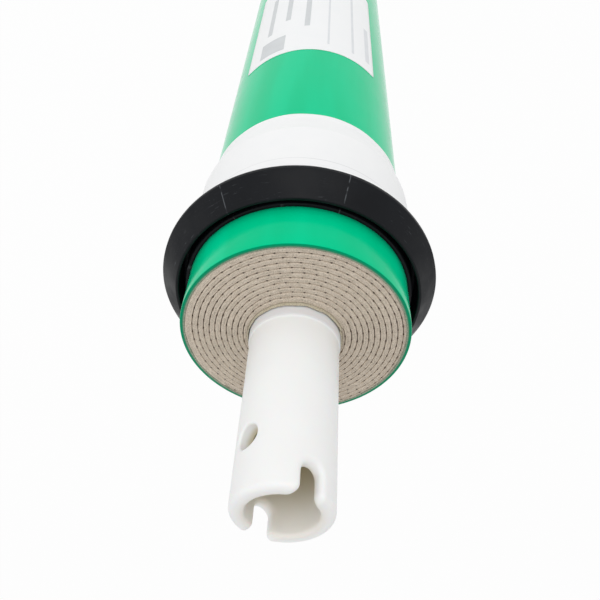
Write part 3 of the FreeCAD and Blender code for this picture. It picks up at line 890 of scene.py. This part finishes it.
def make_tape():
    sleeve = SLEEVE_RADIUS + LAY_GAP
    over, pressed, tail = sleeve + TAPE_THICK, sleeve + TAPE_THICK - TAPE_PRESS, SEAT + TAPE_THICK
    corners = [
        (SEAT, TAPE_TAIL, 0.05),
        (sleeve, SEAL_TAIL - LAY_GAP, 0.3),
        (sleeve, TAPE_HEAD, 0.03),
        (over, TAPE_HEAD, 0.08),
        (over, setback(22.6), 0.06),
        (pressed, setback(22.8), 0.06),
        (pressed, setback(25.6), 0.06),
        (pressed - 0.06, setback(25.75), 0.06),
        (pressed, setback(36.5), 0.9),
        (pressed, SEAL_TAIL - 0.2, 0.9),
        (tail + 0.35, setback(41.5), 1.4),
        (tail + 0.05, setback(45.4), 1.0),
        (tail, TAPE_TAIL, 0.08),
    ]
    outline = divide(soften(corners, 5), 1.0)

    def crease(radii, heights, angles):
        slack = np.clip((setback(24) - heights) / 14, 0, 1) * (radii > SEAT + 0.15)
        ripple = np.sin(9 * angles + heights * 0.3) + 0.6 * np.sin(17 * angles - heights * 0.5 + 1.0)
        return radii + slack * 0.03 * (ripple + 0.2), heights

    points, faces = turn(outline, 320, shift=crease)
    return make_piece("tape", points, faces, tape_film(), "tape_film", ["seal_tape"])


# Bars on the label: first and last angle from -Y in degrees, first and last setback, and ink.
LABEL_BARS = (
    (-36, -17, 86, 96, 1),
    (-33, -29, 101, 131, 1),
    (-19, -15, 107, 126, 1),
    (-4, 0, 100, 123, 1),
    (13, 14.5, 88, 124, 2),
    (31, 33, 88, 131, 2),
    (43, 47, 89, 113, 2),
)


def label_half_width(height, head, tail):
    """Half the label's chord at a height, less its rounded corners."""
    cut = 0.0
    for depth, corner in ((head - height, LABEL_NEAR), (height - tail, LABEL_FAR)):
        if depth < corner:
            cut = corner - math.sqrt(max(0.0, corner ** 2 - (corner - depth) ** 2))
    return LABEL_HALF - cut


def label_rows(head, tail):
    """Heights of the label's rows, close together at its corners, with one at each bar's end."""
    near, far = head - LABEL_NEAR, tail + LABEL_FAR
    rows = {round(setback(end), 3) for bar in LABEL_BARS for end in bar[2:4]}
    for first, last, count in ((tail, far, 25), (near, head, 7), (far, near, 30)):
        rows |= set(np.round(np.linspace(first, last, count), 3))
    return sorted(rows)


def label_columns(middle, half):
    """Angles of the label's columns from its middle, with one at each bar's side."""
    sides = {math.radians(-side) + math.radians(-90) - middle for bar in LABEL_BARS for side in bar[:2]}
    columns = set(np.round(np.linspace(-1, 1, 65) * half, 5)) | {round(side, 5) for side in sides}
    return [column for column in sorted(columns) if abs(column) <= half + 1e-6]


def sheet_faces(wide, tall):
    """Faces of a closed sheet: an upper and a lower grid of points, and the rim between them."""
    layer = wide * tall
    faces = []
    for row in range(tall - 1):
        for column in range(wide - 1):
            here = row * wide + column
            above = here + wide
            faces.append((here, here + 1, above + 1, above))
            faces.append((layer + here, layer + above, layer + above + 1, layer + here + 1))
    for row in range(tall - 1):
        for column in (0, wide - 1):
            here = row * wide + column
            faces.append((here, here + wide, layer + here + wide, layer + here))
    for column in range(wide - 1):
        for row in (0, tall - 1):
            here = row * wide + column
            faces.append((here, here + 1, layer + here + 1, layer + here))
    return faces


def make_label():
    """Curved sheet on the wrap, its faces painted as plain bars."""
    low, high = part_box("label")
    head, tail = high.z / MM, low.z / MM
    outer = SEAT + LABEL_THICK
    middle = math.radians(LABEL_ANGLE)
    rows = label_rows(head, tail)
    columns = label_columns(middle, math.asin(LABEL_HALF / outer))
    points = []
    for radius in (outer, SEAT):
        for height in rows:
            limit = math.asin(label_half_width(height, head, tail) / outer)
            for column in columns:
                angle = middle + max(-limit, min(limit, column))
                points.append((radius * math.cos(angle), radius * math.sin(angle), height))
    faces = sheet_faces(len(columns), len(rows))
    piece = make_piece("label_sheet", points, faces, label_film(), "label_film", ["label"])
    piece.data.materials.append(label_ink("label_ink", srgb(206, 209, 211)))
    piece.data.materials.append(label_ink("label_rule", srgb(220, 222, 225)))
    for face in piece.data.polygons:
        x, y, z = (c / MM for c in face.center)
        if math.hypot(x, y) < outer - 0.02 or abs(face.normal.z) > 0.5:
            continue
        bearing = -math.degrees(math.atan2(y, x)) - 90
        for first, last, start, finish, ink in LABEL_BARS:
            if first < bearing < last and start < ROLL_FACE - z < finish:
                face.material_index = ink
    return piece


# ---- stage ---------------------------------------------------------------------------------------


FLOOR_HALF = 3.0
FLOOR_SHOWN = 0.95
SKY_LIGHT = 0.7


def shown_rays(tree, clamp=False):
    """1 for the rays that show the background: camera, glossy and transmission."""
    path = tree.nodes.new("ShaderNodeLightPath")
    total = path.outputs["Is Camera Ray"]
    for ray in ("Is Glossy Ray", "Is Transmission Ray"):
        added = tree.nodes.new("ShaderNodeMath")
        added.operation = "ADD"
        added.use_clamp = clamp
        tree.links.new(total, added.inputs[0])
        tree.links.new(path.outputs[ray], added.inputs[1])
        total = added.outputs[0]
    return total


def blend_shaders(tree, share, first, second, output):
    blend = tree.nodes.new("ShaderNodeMixShader")
    tree.links.new(share, blend.inputs[0])
    tree.links.new(first.outputs[0], blend.inputs[1])
    tree.links.new(second.outputs[0], blend.inputs[2])
    tree.links.new(blend.outputs[0], output.inputs["Surface"])


def make_stage():
    """Pale floor that looks nearly white and keeps the element's shadow."""
    half = FLOOR_HALF
    mesh = bpy.data.meshes.new("floor")
    corners = [(-half, -half, 0), (half, -half, 0), (half, half, 0), (-half, half, 0)]
    mesh.from_pydata(corners, [], [(0, 1, 2, 3)])
    floor = bpy.data.objects.new("floor", mesh)
    bpy.context.scene.collection.objects.link(floor)
    material = bpy.data.materials.new("floor")
    material.use_nodes = True
    tree = material.node_tree
    tree.nodes.clear()
    output = tree.nodes.new("ShaderNodeOutputMaterial")
    matt = tree.nodes.new("ShaderNodeBsdfDiffuse")
    matt.inputs["Color"].default_value = (0.9, 0.9, 0.9, 1)
    glow = tree.nodes.new("ShaderNodeEmission")
    share = tree.nodes.new("ShaderNodeMath")
    share.operation = "MULTIPLY"
    share.inputs[1].default_value = FLOOR_SHOWN
    tree.links.new(shown_rays(tree), share.inputs[0])
    blend_shaders(tree, share.outputs[0], matt, glow, output)
    mesh.materials.append(material)


def make_world():
    """Even white light, shown as pure white."""
    world = bpy.data.worlds.new("studio")
    bpy.context.scene.world = world
    world.use_nodes = True
    tree = world.node_tree
    tree.nodes.clear()
    output = tree.nodes.new("ShaderNodeOutputWorld")
    skies = []
    for strength in (SKY_LIGHT, 1.0):
        sky = tree.nodes.new("ShaderNodeBackground")
        sky.inputs["Color"].default_value = (1, 1, 1, 1)
        sky.inputs["Strength"].default_value = strength
        skies.append(sky)
    blend_shaders(tree, shown_rays(tree, clamp=True), *skies, output)


def make_lamp(name, place, target, size, power):
    lamp = bpy.data.lights.new(name, "AREA")
    lamp.shape = "SQUARE"
    lamp.size = size
    lamp.energy = power
    item = bpy.data.objects.new(name, lamp)
    item.location = place
    item.rotation_euler = (Vector(target) - Vector(place)).to_track_quat("-Z", "Y").to_euler()
    bpy.context.scene.collection.objects.link(item)


def make_camera():
    camera = bpy.data.cameras.new("camera")
    camera.lens = 40.9
    camera.sensor_width = 36.0
    camera.clip_start = 0.01
    camera.clip_end = 20.0
    item = bpy.data.objects.new("camera", camera)
    right, up, back = (-0.998, 0.042, -0.0466), (0.0, -0.743, -0.6693), (-0.0628, -0.668, 0.7415)
    rotation = Matrix((right, up, back)).transposed()
    item.rotation_mode = "QUATERNION"
    item.rotation_quaternion = rotation.to_quaternion()
    item.location = (-9.16 * MM, -92.63 * MM, (ROLL_FACE + 92.47) * MM)
    bpy.context.scene.collection.objects.link(item)
    bpy.context.scene.camera = item


make_tube()
make_o_rings()
make_carrier()
make_leaf()
make_net()
make_wrap()
make_seal()
make_tape()
make_label()
make_stage()
make_world()
make_lamp("key", (-0.1, -0.95, 0.6), (0, 0, 0.26), 0.8, 3.1)
make_lamp("side", (0.7, -0.2, 0.5), (0, 0, 0.25), 0.5, 0.5)
make_camera()

scene = bpy.context.scene
scene.view_settings.view_transform = "Standard"
